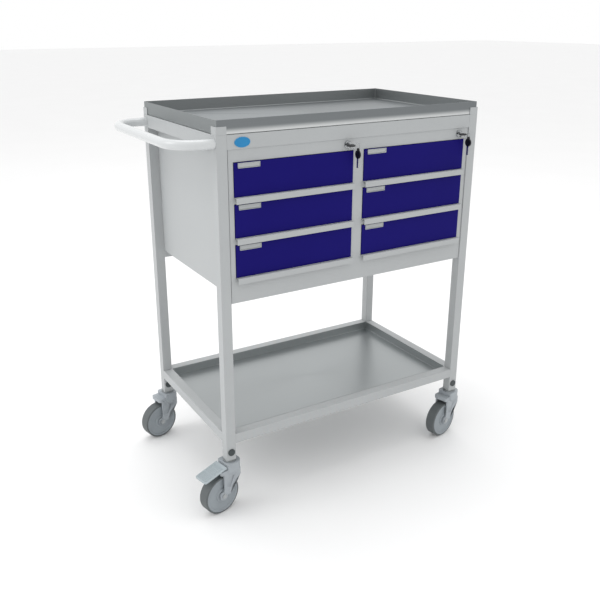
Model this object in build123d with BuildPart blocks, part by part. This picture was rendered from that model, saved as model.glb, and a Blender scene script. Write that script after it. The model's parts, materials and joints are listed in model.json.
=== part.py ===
"""Hospital crash cart: steel frame, six drawers, two stainless trays, four swivel castors.

All sizes are in millimetres. X, Y and Z below are measured from the outer corner of the front
left post at floor level. save() moves each piece to the part's own frame, whose origin lies on
the floor under the middle of the whole cart.
"""
import math
import os

from build123d import *

os.makedirs("parts", exist_ok=True)

# Overall sizes
WIDTH = 740.0
DEPTH = 440.0
TRAY_RIM_Z = 960.0
ORIGIN_X = 325.25
ORIGIN_Y = 213.02

# Square tube frame
TUBE = 25.0
TUBE_WALL = 1.5
POST_FOOT_Z = 134.0
TOP_RAIL_LOW_Z = 896.0
TOP_RAIL_HIGH_Z = 928.0
EAR_TOP_Z = 946.0
SHELF_RAIL_LOW_Z = 179.0
SHELF_RAIL_HIGH_Z = 204.0
PLUG_Z = 157.0
PLUG_HOLE_R = 4.1

# Sheet metal
SHEET = 1.2
TRAY_SHEET = 1.5
TRAY_INSET = 1.6
TRAY_BEND_R = 2.95
TRAY_CORNER_R = 3.0
SHELF_PAN_LOW_Z = 180.0

# Push handle
HANDLE_R = 11.0
HANDLE_BORE_R = 9.5
HANDLE_Z = 910.0
HANDLE_REACH = 89.0
HANDLE_BEND_R = 65.0

# Cabinet
CABINET_TOP_Z = 896.0
CABINET_LOW_Z = 543.0
PANEL_LOW_Z = 563.0
PANEL_THICK = 14.0
PANEL_FRONT_Y = 19.5
CABINET_BACK_Y = 415.0
BACK_FLANGE = 15.0
DIVIDER_THICK = 29.0
FACE_FRONT_Y = 2.5
FACE_SHEET = 1.5
FACE_SIDE_GAP = 2.0
FACE_FLANGE = 15.0

# Drawers
DRAWER_COLUMNS = {"left": 197.25, "right": 542.75}
DRAWER_ROWS = {"top": 790.5, "middle": 697.5, "bottom": 604.5}
FRONT_WIDTH = 314.0
FRONT_HEIGHT = 76.5
FRONT_DEPTH = 14.0
FRONT_EDGE_R = 1.0
OPENING_WIDTH = 316.0
OPENING_BELOW = 2.2
OPENING_ABOVE = 1.0
LIP_REACH = 9.0
LIP_DROP = 14.0
LIP_BEND_R = 2.4
BOX_WIDTH = 290.0
BOX_BACK_Y = 395.0
BOX_HEIGHT = 60.0

# Drawer runners
RUNNER_MID_UP = 30.0
FIXED_HEIGHT = 42.0
MOVING_HEIGHT = 38.4
RUNNER_GAP = 0.8
RUNNER_FRONT_Y = 20.0
RUNNER_BACK_Y = 400.0

# Card holders and badge
HOLDER_OFFSET = 9.0
HOLDER_WIDTH = 54.5
HOLDER_HEIGHT = 12.5
HOLDER_THICK = 2.0
HOLDER_RIM = 1.5
HOLDER_BELOW_TOP = 1.0
BADGE_X = 61.5
BADGE_Z = 910.5
BADGE_LONG_R = 19.25
BADGE_SHORT_R = 11.5
BADGE_THICK = 1.0

# Locks and keys
LOCK_X = {"left": 337.5, "right": 683.0}
LOCK_Z = 882.0
BARREL_FLANGE_R = 9.25
BARREL_FLANGE_THICK = 3.0
BARREL_R = 7.9
BARREL_HOLE_R = 8.0
BARREL_BACK_Y = 24.0
PLUG_R = 5.05
PLUG_BORE_R = 5.1
CAM_REACH = 22.0
CAM_THICK = 2.5
CAM_GAP = 0.5
PLUG_PROUD = 0.5
KEYWAY_HALF_WIDTH = 3.8
KEYWAY_HALF_HEIGHT = 1.05
KEYWAY_BACK_Y = 14.0
KEY_BOW_R = 10.0
KEY_BOW_THICK = 3.0
KEY_BOW_Y = -13.0
KEY_TIP_Y = 12.0
KEY_HOLE_R = 1.9
KEY_HOLE_OFFSET = 6.3
BLADE_HALF_WIDTH = 3.6
BLADE_HALF_THICK = 0.95
RING_OFFSET_X = 14.2
RING_OFFSET_Z = -4.0
RING_Y = -14.5
RING_R = 9.0
RING_WIRE_R = 0.7
SPARE_OFFSET_X = 19.0
SPARE_HOLE_Z = 870.7
SPARE_HOLE_R = 2.1
SPARE_TAB_R = 4.0
SPARE_HEAD_Z = 859.7
SPARE_TIP_Z = 828.0

# Castor fixings
STEM_HALF = 10.8
STEM_TOP_Z = 174.0
RACE_R = 17.0
CROWN_GAP = 0.3
PIN_HEAD_R = 10.0
PIN_HEAD_THICK = 3.7
PLUG_HOLE_DEPTH = 16.0
PLUG_HEAD_R = 9.0
PLUG_HEAD_THICK = 2.5
PLUG_SHANK_R = 4.0
PLUG_SHANK_LENGTH = 15.0

# Castors, drawn with the swivel axis upright through X = Y = 0
CASTOR_TURN = 12.0
TRAIL = 35.0
WHEEL_R = 50.0
WHEEL_HALF_WIDTH = 14.0
CORE_R = 45.0
TYRE_BORE_R = 45.05
HUB_HALF_WIDTH = 15.0
AXLE_R = 4.0
AXLE_HOLE_R = 4.1
WHEEL_BORE_R = 4.05
CROWN_R = 23.0
CROWN_LOW_Z = 108.0
CROWN_TOP_Z = 130.7
SWIVEL_PIN_R = 6.0
SWIVEL_BORE_R = 6.05
LEG_INNER = 16.5
LEG_OUTER = 21.0
HOOD_TOP_Z = 118.0
HOOD_BACK_X = -42.0
PEDAL_PIVOT_X = -34.0
PEDAL_PIVOT_Z = 114.0
PEDAL_HALF_WIDTH = 14.0
PEDAL_PLATE_HALF_WIDTH = 21.0
PEDAL_BARREL_R = 5.0
PEDAL_PIN_R = 3.0
PEDAL_PIN_BORE_R = 3.06
PEDAL_SLOT_GAP = 0.6
PEDAL_SLOT_FRONT_X = -22.0
PIN_BORE_COVER = 1.0
PIN_END_GAP = 0.3
CROWN_BACK_X = -20.0
BOSS_R = 11.0
AXLE_HEAD_R = 6.0
AXLE_HEAD_THICK = 1.5
AXLE_NUT_R = 6.5
AXLE_NUT_THICK = 2.5
HUB_R = 13.0
WEB_IN_R = 15.0
WEB_OUT_R = 39.0
RIM_IN_R = 41.0
WEB_HALF_IN = 11.0
WEB_HALF_OUT = 10.0
RIM_HALF_WIDTH = 13.0
TYRE_EDGE_R = 2.5


def save(name, part):
    """Move a finished piece to the part's frame, label it and write its file."""
    moved = Pos(-ORIGIN_X, -ORIGIN_Y, 0) * part
    moved.label = name
    export_step(moved, "parts/" + name + ".step")


def block(x_range, y_range, z_range, mode=Mode.ADD):
    """Add or cut a box given by its limits."""
    sizes = [high - low for low, high in (x_range, y_range, z_range)]
    middle = tuple((low + high) / 2 for low, high in (x_range, y_range, z_range))
    with Locations(middle):
        Box(*sizes, mode=mode)


def rod(start, direction, radius, length, mode=Mode.ADD):
    """Add or cut a round bar that begins at a point and runs in a direction."""
    with Locations(Plane(origin=start, z_dir=direction)):
        Cylinder(radius, length, align=(Align.CENTER, Align.CENTER, Align.MIN), mode=mode)


def side_plate(points, y_low, thickness, mode=Mode.ADD):
    """Add or cut a plate with an outline in X and Z, from y_low towards +Y."""
    with BuildSketch(Plane(origin=(0, y_low, 0), x_dir=(1, 0, 0), z_dir=(0, -1, 0))) as outline:
        with BuildLine():
            Polyline(*points, close=True)
        make_face()
    extrude(outline.sketch, amount=-thickness, mode=mode)


# Posts: square tube with a plug hole near the foot
CORNERS = {
    "front_left": (0.0, 0.0, 1, 1),
    "front_right": (WIDTH, 0.0, -1, 1),
    "rear_left": (0.0, DEPTH, 1, -1),
    "rear_right": (WIDTH, DEPTH, -1, -1),
}


def span(edge, direction, near, far):
    """Turn two distances inward from an outer face into a low and a high limit."""
    return tuple(sorted((edge + direction * near, edge + direction * far)))


for corner, (edge_x, edge_y, in_x, in_y) in CORNERS.items():
    tube_x = span(edge_x, in_x, 0, TUBE)
    tube_y = span(edge_y, in_y, 0, TUBE)
    bore_x = span(edge_x, in_x, TUBE_WALL, TUBE - TUBE_WALL)
    bore_y = span(edge_y, in_y, TUBE_WALL, TUBE - TUBE_WALL)
    with BuildPart() as post:
        block(tube_x, tube_y, (POST_FOOT_Z, TOP_RAIL_HIGH_Z))
        block(bore_x, bore_y, (POST_FOOT_Z, TOP_RAIL_HIGH_Z), Mode.SUBTRACT)
        rod((sum(tube_x) / 2, tube_y[0] - 1, PLUG_Z), (0, 1, 0), PLUG_HOLE_R, TUBE_WALL + 2, Mode.SUBTRACT)
    save("post_" + corner, post.part)


# Ears: small angles on the post tops that hold the tray's corners
with BuildPart() as tray_ears:
    for edge_x, edge_y, in_x, in_y in CORNERS.values():
        ear_z = (TOP_RAIL_HIGH_Z, EAR_TOP_Z)
        block(span(edge_x, in_x, 0, TUBE), span(edge_y, in_y, 0, TUBE_WALL), ear_z)
        block(span(edge_x, in_x, 0, TUBE_WALL), span(edge_y, in_y, 0, TUBE), ear_z)
save("tray_ears", tray_ears.part)

# Rails welded between the posts, four at the top and four at the shelf
with BuildPart() as frame_rails:
    for low_z, high_z in ((TOP_RAIL_LOW_Z, TOP_RAIL_HIGH_Z), (SHELF_RAIL_LOW_Z, SHELF_RAIL_HIGH_Z)):
        inner_z = (low_z + TUBE_WALL, high_z - TUBE_WALL)
        for y_range in ((0, TUBE), (DEPTH - TUBE, DEPTH)):
            inner_y = (y_range[0] + TUBE_WALL, y_range[1] - TUBE_WALL)
            block((TUBE, WIDTH - TUBE), y_range, (low_z, high_z))
            block((TUBE, WIDTH - TUBE), inner_y, inner_z, Mode.SUBTRACT)
        for x_range in ((0, TUBE), (WIDTH - TUBE, WIDTH)):
            inner_x = (x_range[0] + TUBE_WALL, x_range[1] - TUBE_WALL)
            block(x_range, (TUBE, DEPTH - TUBE), (low_z, high_z))
            block(inner_x, (TUBE, DEPTH - TUBE), inner_z, Mode.SUBTRACT)
save("frame_rails", frame_rails.part)

# Top tray: folded stainless tray with a bend along its lower edge
with BuildPart() as top_tray:
    block((TRAY_INSET, WIDTH - TRAY_INSET), (TRAY_INSET, DEPTH - TRAY_INSET), (TOP_RAIL_HIGH_Z, TRAY_RIM_Z))
    fillet(top_tray.edges().filter_by(Axis.Z), radius=TRAY_CORNER_R)
    fillet(top_tray.edges().group_by(Axis.Z)[0], radius=TRAY_BEND_R)
    rim = top_tray.faces().sort_by(Axis.Z)[-1]
    offset(amount=-TRAY_SHEET, openings=rim)
save("top_tray", top_tray.part)

# Shelf tray: a pan set inside the lower rails
with BuildPart() as shelf_tray:
    block((TUBE, WIDTH - TUBE), (TUBE, DEPTH - TUBE), (SHELF_PAN_LOW_Z, SHELF_RAIL_HIGH_Z))
    pan_x = (TUBE + SHEET, WIDTH - TUBE - SHEET)
    pan_y = (TUBE + SHEET, DEPTH - TUBE - SHEET)
    block(pan_x, pan_y, (SHELF_PAN_LOW_Z + SHEET, SHELF_RAIL_HIGH_Z), Mode.SUBTRACT)
save("shelf_tray", shelf_tray.part)

# Push handle: bent round tube between the two left posts
bend_x = HANDLE_BEND_R - HANDLE_REACH
front_y = TUBE / 2
rear_y = DEPTH - TUBE / 2
with BuildPart() as push_handle:
    with BuildLine() as handle_path:
        Polyline((0, front_y, HANDLE_Z), (bend_x, front_y, HANDLE_Z))
        first_bend = Plane(origin=(bend_x, front_y + HANDLE_BEND_R, HANDLE_Z))
        ThreePointArc(
            (bend_x, front_y, HANDLE_Z),
            first_bend.from_local_coords((-HANDLE_BEND_R * math.sqrt(0.5), -HANDLE_BEND_R * math.sqrt(0.5), 0)),
            (-HANDLE_REACH, front_y + HANDLE_BEND_R, HANDLE_Z),
        )
        Polyline(
            (-HANDLE_REACH, front_y + HANDLE_BEND_R, HANDLE_Z),
            (-HANDLE_REACH, rear_y - HANDLE_BEND_R, HANDLE_Z),
        )
        second_bend = Plane(origin=(bend_x, rear_y - HANDLE_BEND_R, HANDLE_Z))
        ThreePointArc(
            (-HANDLE_REACH, rear_y - HANDLE_BEND_R, HANDLE_Z),
            second_bend.from_local_coords((-HANDLE_BEND_R * math.sqrt(0.5), HANDLE_BEND_R * math.sqrt(0.5), 0)),
            (bend_x, rear_y, HANDLE_Z),
        )
        Polyline((bend_x, rear_y, HANDLE_Z), (0, rear_y, HANDLE_Z))
    with BuildSketch(Plane(origin=(0, front_y, HANDLE_Z), z_dir=(-1, 0, 0))):
        Circle(HANDLE_R)
        Circle(HANDLE_BORE_R, mode=Mode.SUBTRACT)
    sweep()
save("push_handle", push_handle.part)

# Badge plate on the top front rail
with BuildPart() as badge_plate:
    with BuildSketch(Plane(origin=(BADGE_X, 0, BADGE_Z), x_dir=(1, 0, 0), z_dir=(0, -1, 0))):
        Ellipse(BADGE_LONG_R, BADGE_SHORT_R)
    extrude(amount=BADGE_THICK)
save("badge_plate", badge_plate.part)


# Cabinet: folded side panels, divider, back, base and face frame
def hollow_panel(x_low, thickness):
    """Build an upright double-skinned panel, open at the top and the bottom."""
    with BuildPart() as panel:
        block((x_low, x_low + thickness), (PANEL_FRONT_Y, CABINET_BACK_Y), (PANEL_LOW_Z, CABINET_TOP_Z))
        inner_x = (x_low + SHEET, x_low + thickness - SHEET)
        inner_y = (PANEL_FRONT_Y + SHEET, CABINET_BACK_Y - SHEET)
        block(inner_x, inner_y, (PANEL_LOW_Z, CABINET_TOP_Z), Mode.SUBTRACT)
    return panel.part


save("cabinet_side_left", hollow_panel(TUBE, PANEL_THICK))
save("cabinet_side_right", hollow_panel(WIDTH - TUBE - PANEL_THICK, PANEL_THICK))
save("cabinet_divider", hollow_panel((WIDTH - DIVIDER_THICK) / 2, DIVIDER_THICK))

with BuildPart() as cabinet_back:
    back_y = (CABINET_BACK_Y, CABINET_BACK_Y + BACK_FLANGE)
    block((TUBE, WIDTH - TUBE), back_y, (CABINET_LOW_Z, CABINET_TOP_Z))
    inner_x = (TUBE + SHEET, WIDTH - TUBE - SHEET)
    inner_z = (CABINET_LOW_Z + SHEET, CABINET_TOP_Z - SHEET)
    block(inner_x, (back_y[0] + SHEET, back_y[1]), inner_z, Mode.SUBTRACT)
save("cabinet_back", cabinet_back.part)

with BuildPart() as cabinet_base:
    base_x = (TUBE, WIDTH - TUBE)
    block(base_x, (PANEL_FRONT_Y, CABINET_BACK_Y), (CABINET_LOW_Z, PANEL_LOW_Z))
    inner_y = (PANEL_FRONT_Y + SHEET, CABINET_BACK_Y - SHEET)
    block(base_x, inner_y, (CABINET_LOW_Z, PANEL_LOW_Z - SHEET), Mode.SUBTRACT)
save("cabinet_base", cabinet_base.part)

with BuildPart() as cabinet_face_frame:
    face_x = (TUBE + FACE_SIDE_GAP, WIDTH - TUBE - FACE_SIDE_GAP)
    face_back_y = FACE_FRONT_Y + FACE_SHEET
    block(face_x, (FACE_FRONT_Y, PANEL_FRONT_Y), (CABINET_LOW_Z, CABINET_TOP_Z))
    hollow_x = (face_x[0] + FACE_SHEET, face_x[1] - FACE_SHEET)
    hollow_z = (CABINET_LOW_Z + FACE_SHEET, CABINET_TOP_Z - FACE_SHEET)
    block(hollow_x, (face_back_y, PANEL_FRONT_Y), hollow_z, Mode.SUBTRACT)
    for middle_x in DRAWER_COLUMNS.values():
        opening_x = (middle_x - OPENING_WIDTH / 2, middle_x + OPENING_WIDTH / 2)
        for front_z in DRAWER_ROWS.values():
            opening_z = (front_z - OPENING_BELOW, front_z + FRONT_HEIGHT + OPENING_ABOVE)
            block(opening_x, (FACE_FRONT_Y, face_back_y), opening_z, Mode.SUBTRACT)
    for lock_x in LOCK_X.values():
        rod((lock_x, FACE_FRONT_Y, LOCK_Z), (0, 1, 0), BARREL_HOLE_R, FACE_SHEET, Mode.SUBTRACT)
save("cabinet_face_frame", cabinet_face_frame.part)


# Runners: a channel fixed to the panel with a narrower channel nested inside it on the drawer
def channel(web_x, open_to, middle_z, height, depth, y_range):
    """Add a C-shaped channel whose web starts at web_x and whose flanges point along open_to."""
    far_x = web_x + open_to * depth
    block(tuple(sorted((web_x, far_x))), y_range, (middle_z - height / 2, middle_z + height / 2))
    inner_x = tuple(sorted((web_x + open_to * SHEET, far_x)))
    inner_z = (middle_z - height / 2 + SHEET, middle_z + height / 2 - SHEET)
    block(inner_x, y_range, inner_z, Mode.SUBTRACT)


column_half = (WIDTH / 2 - DIVIDER_THICK / 2 - TUBE - PANEL_THICK) / 2
slide_space = column_half - BOX_WIDTH / 2
channel_depth = slide_space - SHEET - RUNNER_GAP

with BuildPart() as cabinet_runners:
    for middle_x in DRAWER_COLUMNS.values():
        for front_z in DRAWER_ROWS.values():
            for side in (-1, 1):
                channel(
                    middle_x + side * column_half,
                    -side,
                    front_z + RUNNER_MID_UP,
                    FIXED_HEIGHT,
                    channel_depth,
                    (RUNNER_FRONT_Y, RUNNER_BACK_Y),
                )
save("cabinet_runners", cabinet_runners.part)

# Drawers: sheet box with finger lip and runner members, coloured front, card holder
for row, front_z in DRAWER_ROWS.items():
    for column, middle_x in DRAWER_COLUMNS.items():
        name = row + "_" + column
        box_x = (middle_x - BOX_WIDTH / 2, middle_x + BOX_WIDTH / 2)
        front_x = (middle_x - FRONT_WIDTH / 2, middle_x + FRONT_WIDTH / 2)
        floor_z = (front_z - SHEET, front_z)

        with BuildPart() as drawer_box:
            block(box_x, (FRONT_DEPTH, BOX_BACK_Y), (front_z - SHEET, front_z + BOX_HEIGHT))
            inner_x = (box_x[0] + SHEET, box_x[1] - SHEET)
            inner_y = (FRONT_DEPTH + SHEET, BOX_BACK_Y - SHEET)
            block(inner_x, inner_y, (front_z, front_z + BOX_HEIGHT), Mode.SUBTRACT)
            block(front_x, (-LIP_REACH, FRONT_DEPTH), (front_z - LIP_DROP, front_z))
            outer_bend = drawer_box.edges().filter_by(Axis.X).sort_by(Axis.Y)[:2].sort_by(Axis.Z)[-1]
            fillet(outer_bend, radius=LIP_BEND_R)
            under_y = (-LIP_REACH + SHEET, FRONT_DEPTH)
            block(front_x, under_y, (front_z - LIP_DROP, front_z - LIP_BEND_R), Mode.SUBTRACT)
            behind_y = (-LIP_REACH + LIP_BEND_R, FRONT_DEPTH)
            block(front_x, behind_y, (front_z - LIP_BEND_R, front_z - SHEET), Mode.SUBTRACT)
        with BuildPart() as box_runners:
            for side in (-1, 1):
                channel(
                    middle_x + side * BOX_WIDTH / 2,
                    side,
                    front_z + RUNNER_MID_UP,
                    MOVING_HEIGHT,
                    channel_depth,
                    (RUNNER_FRONT_Y, BOX_BACK_Y),
                )
        save("drawer_box_" + name, Compound(drawer_box.part.solids() + box_runners.part.solids()))

        with BuildPart() as drawer_front:
            block(front_x, (0, FRONT_DEPTH), (front_z, front_z + FRONT_HEIGHT))
            fillet(drawer_front.faces().sort_by(Axis.Y)[0].edges(), radius=FRONT_EDGE_R)
            inner_x = (front_x[0] + SHEET, front_x[1] - SHEET)
            inner_z = (front_z + SHEET, front_z + FRONT_HEIGHT - SHEET)
            block(inner_x, (SHEET, FRONT_DEPTH), inner_z, Mode.SUBTRACT)
        save("drawer_front_" + name, drawer_front.part)

        holder_x = (front_x[0] + HOLDER_OFFSET, front_x[0] + HOLDER_OFFSET + HOLDER_WIDTH)
        front_top = front_z + FRONT_HEIGHT
        holder_z = (front_top - HOLDER_HEIGHT, front_top - HOLDER_BELOW_TOP)
        with BuildPart() as label_holder:
            block(holder_x, (-HOLDER_THICK, 0), holder_z)
            window_x = (holder_x[0] + HOLDER_RIM, holder_x[1] - HOLDER_RIM)
            window_z = (holder_z[0] + HOLDER_RIM, holder_z[1] - HOLDER_RIM)
            block(window_x, (-HOLDER_THICK, -HOLDER_THICK / 2), window_z, Mode.SUBTRACT)
        save("label_holder_" + name, label_holder.part)

# Locks: barrel in the face frame, turning plug with cam, key, ring and spare key
barrel_front_y = FACE_FRONT_Y - BARREL_FLANGE_THICK
plug_front_y = barrel_front_y - PLUG_PROUD
cam_y = (BARREL_BACK_Y + CAM_GAP, BARREL_BACK_Y + CAM_GAP + CAM_THICK)

with BuildPart() as lock_barrels:
    for lock_x in LOCK_X.values():
        rod((lock_x, barrel_front_y, LOCK_Z), (0, 1, 0), BARREL_FLANGE_R, BARREL_FLANGE_THICK)
        rod((lock_x, FACE_FRONT_Y, LOCK_Z), (0, 1, 0), BARREL_R, BARREL_BACK_Y - FACE_FRONT_Y)
        bore_length = BARREL_BACK_Y - barrel_front_y
        rod((lock_x, barrel_front_y, LOCK_Z), (0, 1, 0), PLUG_BORE_R, bore_length, Mode.SUBTRACT)
save("lock_barrels", lock_barrels.part)

for side, lock_x in LOCK_X.items():
    with BuildPart() as lock_plug:
        rod((lock_x, plug_front_y, LOCK_Z), (0, 1, 0), PLUG_R, cam_y[1] - plug_front_y)
        block((lock_x - CAM_REACH, lock_x), cam_y, (LOCK_Z - PLUG_R, LOCK_Z + PLUG_R))
        keyway_x = (lock_x - KEYWAY_HALF_WIDTH, lock_x + KEYWAY_HALF_WIDTH)
        keyway_z = (LOCK_Z - KEYWAY_HALF_HEIGHT, LOCK_Z + KEYWAY_HALF_HEIGHT)
        block(keyway_x, (plug_front_y, KEYWAY_BACK_Y), keyway_z, Mode.SUBTRACT)
    save("lock_plug_" + side, lock_plug.part)

    blade_x = (lock_x - BLADE_HALF_WIDTH, lock_x + BLADE_HALF_WIDTH)
    blade_z = (LOCK_Z - BLADE_HALF_THICK, LOCK_Z + BLADE_HALF_THICK)
    with BuildPart() as key_blade:
        block(blade_x, (KEY_BOW_Y, KEY_TIP_Y), blade_z)
    with BuildPart() as key_bow:
        low = (lock_x, KEY_BOW_Y, LOCK_Z - KEY_BOW_THICK / 2)
        rod(low, (0, 0, 1), KEY_BOW_R, KEY_BOW_THICK)
        ring_low = (lock_x + KEY_HOLE_OFFSET, RING_Y, LOCK_Z - KEY_BOW_THICK / 2)
        rod(ring_low, (0, 0, 1), KEY_HOLE_R, KEY_BOW_THICK, Mode.SUBTRACT)
        block(blade_x, (KEY_BOW_Y, KEY_TIP_Y), blade_z, Mode.SUBTRACT)
    save("key_" + side, Compound(key_bow.part.solids() + key_blade.part.solids()))

    ring_middle = (lock_x + RING_OFFSET_X, RING_Y, LOCK_Z + RING_OFFSET_Z)
    with BuildPart() as key_ring:
        with Locations(Plane(origin=ring_middle, z_dir=(0, 1, 0))):
            Torus(RING_R, RING_WIRE_R)
    save("key_ring_" + side, key_ring.part)

    spare_x = lock_x + SPARE_OFFSET_X
    spare_low_x = spare_x - KEY_BOW_THICK / 2
    shank_x = (spare_x - BLADE_HALF_THICK, spare_x + BLADE_HALF_THICK)
    shank_y = (RING_Y - BLADE_HALF_WIDTH, RING_Y + BLADE_HALF_WIDTH)
    with BuildPart() as spare_blade:
        block(shank_x, shank_y, (SPARE_TIP_Z, SPARE_HEAD_Z))
    with BuildPart() as spare_head:
        rod((spare_low_x, RING_Y, SPARE_HEAD_Z), (1, 0, 0), KEY_BOW_R, KEY_BOW_THICK)
        rod((spare_low_x, RING_Y, SPARE_HOLE_Z), (1, 0, 0), SPARE_TAB_R, KEY_BOW_THICK)
        neck_x = (spare_low_x, spare_low_x + KEY_BOW_THICK)
        block(neck_x, (RING_Y - SPARE_TAB_R, RING_Y + SPARE_TAB_R), (SPARE_HEAD_Z, SPARE_HOLE_Z))
        rod((spare_low_x, RING_Y, SPARE_HOLE_Z), (1, 0, 0), SPARE_HOLE_R, KEY_BOW_THICK, Mode.SUBTRACT)
        block(shank_x, shank_y, (SPARE_TIP_Z, SPARE_HEAD_Z), Mode.SUBTRACT)
    save("spare_key_" + side, Compound(spare_head.part.solids() + spare_blade.part.solids()))

# Castor fixings: stem block in the post foot, race, swivel pin and the plug through the post
stem_points = [(x + in_x * TUBE / 2, y + in_y * TUBE / 2) for x, y, in_x, in_y in CORNERS.values()]
race_low_z = CROWN_TOP_Z + CROWN_GAP
head_high_z = CROWN_LOW_Z - CROWN_GAP
with BuildPart() as castor_stems:
    for stem_x, stem_y in stem_points:
        stem_block_x = (stem_x - STEM_HALF, stem_x + STEM_HALF)
        stem_block_y = (stem_y - STEM_HALF, stem_y + STEM_HALF)
        block(stem_block_x, stem_block_y, (POST_FOOT_Z, STEM_TOP_Z))
        rod((stem_x, stem_y, race_low_z), (0, 0, 1), RACE_R, POST_FOOT_Z - race_low_z)
        rod((stem_x, stem_y, head_high_z), (0, 0, 1), SWIVEL_PIN_R, POST_FOOT_Z - head_high_z)
        rod((stem_x, stem_y, head_high_z - PIN_HEAD_THICK), (0, 0, 1), PIN_HEAD_R, PIN_HEAD_THICK)
        hole_start = (stem_x, stem_y - TUBE / 2, PLUG_Z)
        rod(hole_start, (0, 1, 0), PLUG_HOLE_R, PLUG_HOLE_DEPTH, Mode.SUBTRACT)
save("castor_stems", castor_stems.part)

with BuildPart() as castor_fixings:
    for stem_x, stem_y in stem_points:
        face_y = stem_y - TUBE / 2
        rod((stem_x, face_y - PLUG_HEAD_THICK, PLUG_Z), (0, 1, 0), PLUG_HEAD_R, PLUG_HEAD_THICK)
        rod((stem_x, face_y, PLUG_Z), (0, 1, 0), PLUG_SHANK_R, PLUG_SHANK_LENGTH)
save("castor_fixings", castor_fixings.part)


# Castors: drawn once around the swivel axis, then turned and placed at each post
def fork(braked):
    """Build the swivel fork, with a slot for the pedal on a braked castor."""
    leg = [(12, 110), (10, 98), (-25.5, 44.8), (-45.5, 52.5), (-31, 98), (-33, 110)]
    with BuildPart() as body:
        rod((0, 0, CROWN_LOW_Z), (0, 0, 1), CROWN_R, CROWN_TOP_Z - CROWN_LOW_Z)
        block((CROWN_BACK_X, 0), (-LEG_OUTER, LEG_OUTER), (CROWN_LOW_Z, CROWN_TOP_Z))
        block((HOOD_BACK_X, 0), (-LEG_OUTER, LEG_OUTER), (CROWN_LOW_Z, HOOD_TOP_Z))
        for low_y in (-LEG_OUTER, LEG_INNER):
            side_plate(leg, low_y, LEG_OUTER - LEG_INNER)
            rod((-TRAIL, low_y, WHEEL_R), (0, 1, 0), BOSS_R, LEG_OUTER - LEG_INNER)
        rod((-TRAIL, -LEG_OUTER, WHEEL_R), (0, 1, 0), AXLE_HOLE_R, 2 * LEG_OUTER, Mode.SUBTRACT)
        rod((0, 0, CROWN_LOW_Z), (0, 0, 1), SWIVEL_BORE_R, CROWN_TOP_Z - CROWN_LOW_Z, Mode.SUBTRACT)
        if braked:
            slot_x = (HOOD_BACK_X, PEDAL_SLOT_FRONT_X)
            slot_y = (-PEDAL_HALF_WIDTH - PEDAL_SLOT_GAP, PEDAL_HALF_WIDTH + PEDAL_SLOT_GAP)
            block(slot_x, slot_y, (CROWN_LOW_Z, HOOD_TOP_Z), Mode.SUBTRACT)
            bore_half = LEG_OUTER - PIN_BORE_COVER
            bore_start = (PEDAL_PIVOT_X, -bore_half, PEDAL_PIVOT_Z)
            rod(bore_start, (0, 1, 0), PEDAL_PIN_BORE_R, 2 * bore_half, Mode.SUBTRACT)
    return body.part


def wheel():
    """Build the moulded core and the tyre around it."""
    with BuildPart() as core:
        with BuildSketch(Plane.XZ):
            with BuildLine():
                half = [
                    (WHEEL_BORE_R, HUB_HALF_WIDTH),
                    (HUB_R, HUB_HALF_WIDTH),
                    (WEB_IN_R, WEB_HALF_IN),
                    (WEB_OUT_R, WEB_HALF_OUT),
                    (RIM_IN_R, RIM_HALF_WIDTH),
                    (CORE_R, RIM_HALF_WIDTH),
                ]
                Polyline(*half, *[(radius, -side) for radius, side in reversed(half)], close=True)
            make_face()
        revolve(axis=Axis.Z)
    with BuildPart() as tyre:
        with BuildSketch(Plane.XZ):
            with Locations(((WHEEL_R + TYRE_BORE_R) / 2, 0)):
                Rectangle(WHEEL_R - TYRE_BORE_R, 2 * WHEEL_HALF_WIDTH)
        revolve(axis=Axis.Z)
        rims = tyre.edges().filter_by(GeomType.CIRCLE).sort_by(SortBy.RADIUS)[-2:]
        fillet(rims, radius=TYRE_EDGE_R)
    solids = core.part.solids() + tyre.part.solids()
    return Pos(-TRAIL, 0, WHEEL_R) * Rot(90, 0, 0) * Compound(solids)


def axle():
    """Build the wheel bolt with its head and nut."""
    with BuildPart() as bolt:
        rod((-TRAIL, -LEG_OUTER, WHEEL_R), (0, 1, 0), AXLE_R, 2 * LEG_OUTER)
        rod((-TRAIL, -LEG_OUTER - AXLE_HEAD_THICK, WHEEL_R), (0, 1, 0), AXLE_HEAD_R, AXLE_HEAD_THICK)
        with BuildSketch(Plane(origin=(-TRAIL, LEG_OUTER, WHEEL_R), z_dir=(0, 1, 0))) as nut:
            RegularPolygon(radius=AXLE_NUT_R, side_count=6)
        extrude(nut.sketch, amount=AXLE_NUT_THICK)
    return bolt.part


def pedal():
    """Build the foot pedal with its pivot barrel and stub pins."""
    plate = [(-27, 127), (-90, 112.5), (-92.5, 108), (-91, 107.5), (-88.5, 109), (-40, 120.5), (-27, 123.5)]
    with BuildPart() as body:
        side_plate(plate, -PEDAL_PLATE_HALF_WIDTH, 2 * PEDAL_PLATE_HALF_WIDTH)
        arm = [(-30, 114), (-29, 125), (-46, 121), (-38, 112)]
        side_plate(arm, -PEDAL_HALF_WIDTH, 2 * PEDAL_HALF_WIDTH)
        barrel_start = (PEDAL_PIVOT_X, -PEDAL_HALF_WIDTH, PEDAL_PIVOT_Z)
        rod(barrel_start, (0, 1, 0), PEDAL_BARREL_R, 2 * PEDAL_HALF_WIDTH)
        pin_half = LEG_OUTER - PIN_BORE_COVER - PIN_END_GAP
        pin_start = (PEDAL_PIVOT_X, -pin_half, PEDAL_PIVOT_Z)
        rod(pin_start, (0, 1, 0), PEDAL_PIN_R, 2 * pin_half)
    return body.part


plain_fork = fork(False)
braked_fork = fork(True)
wheel_master = wheel()
axle_master = axle()
pedal_master = pedal()
BRAKED = ("front_left", "rear_right")

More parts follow.
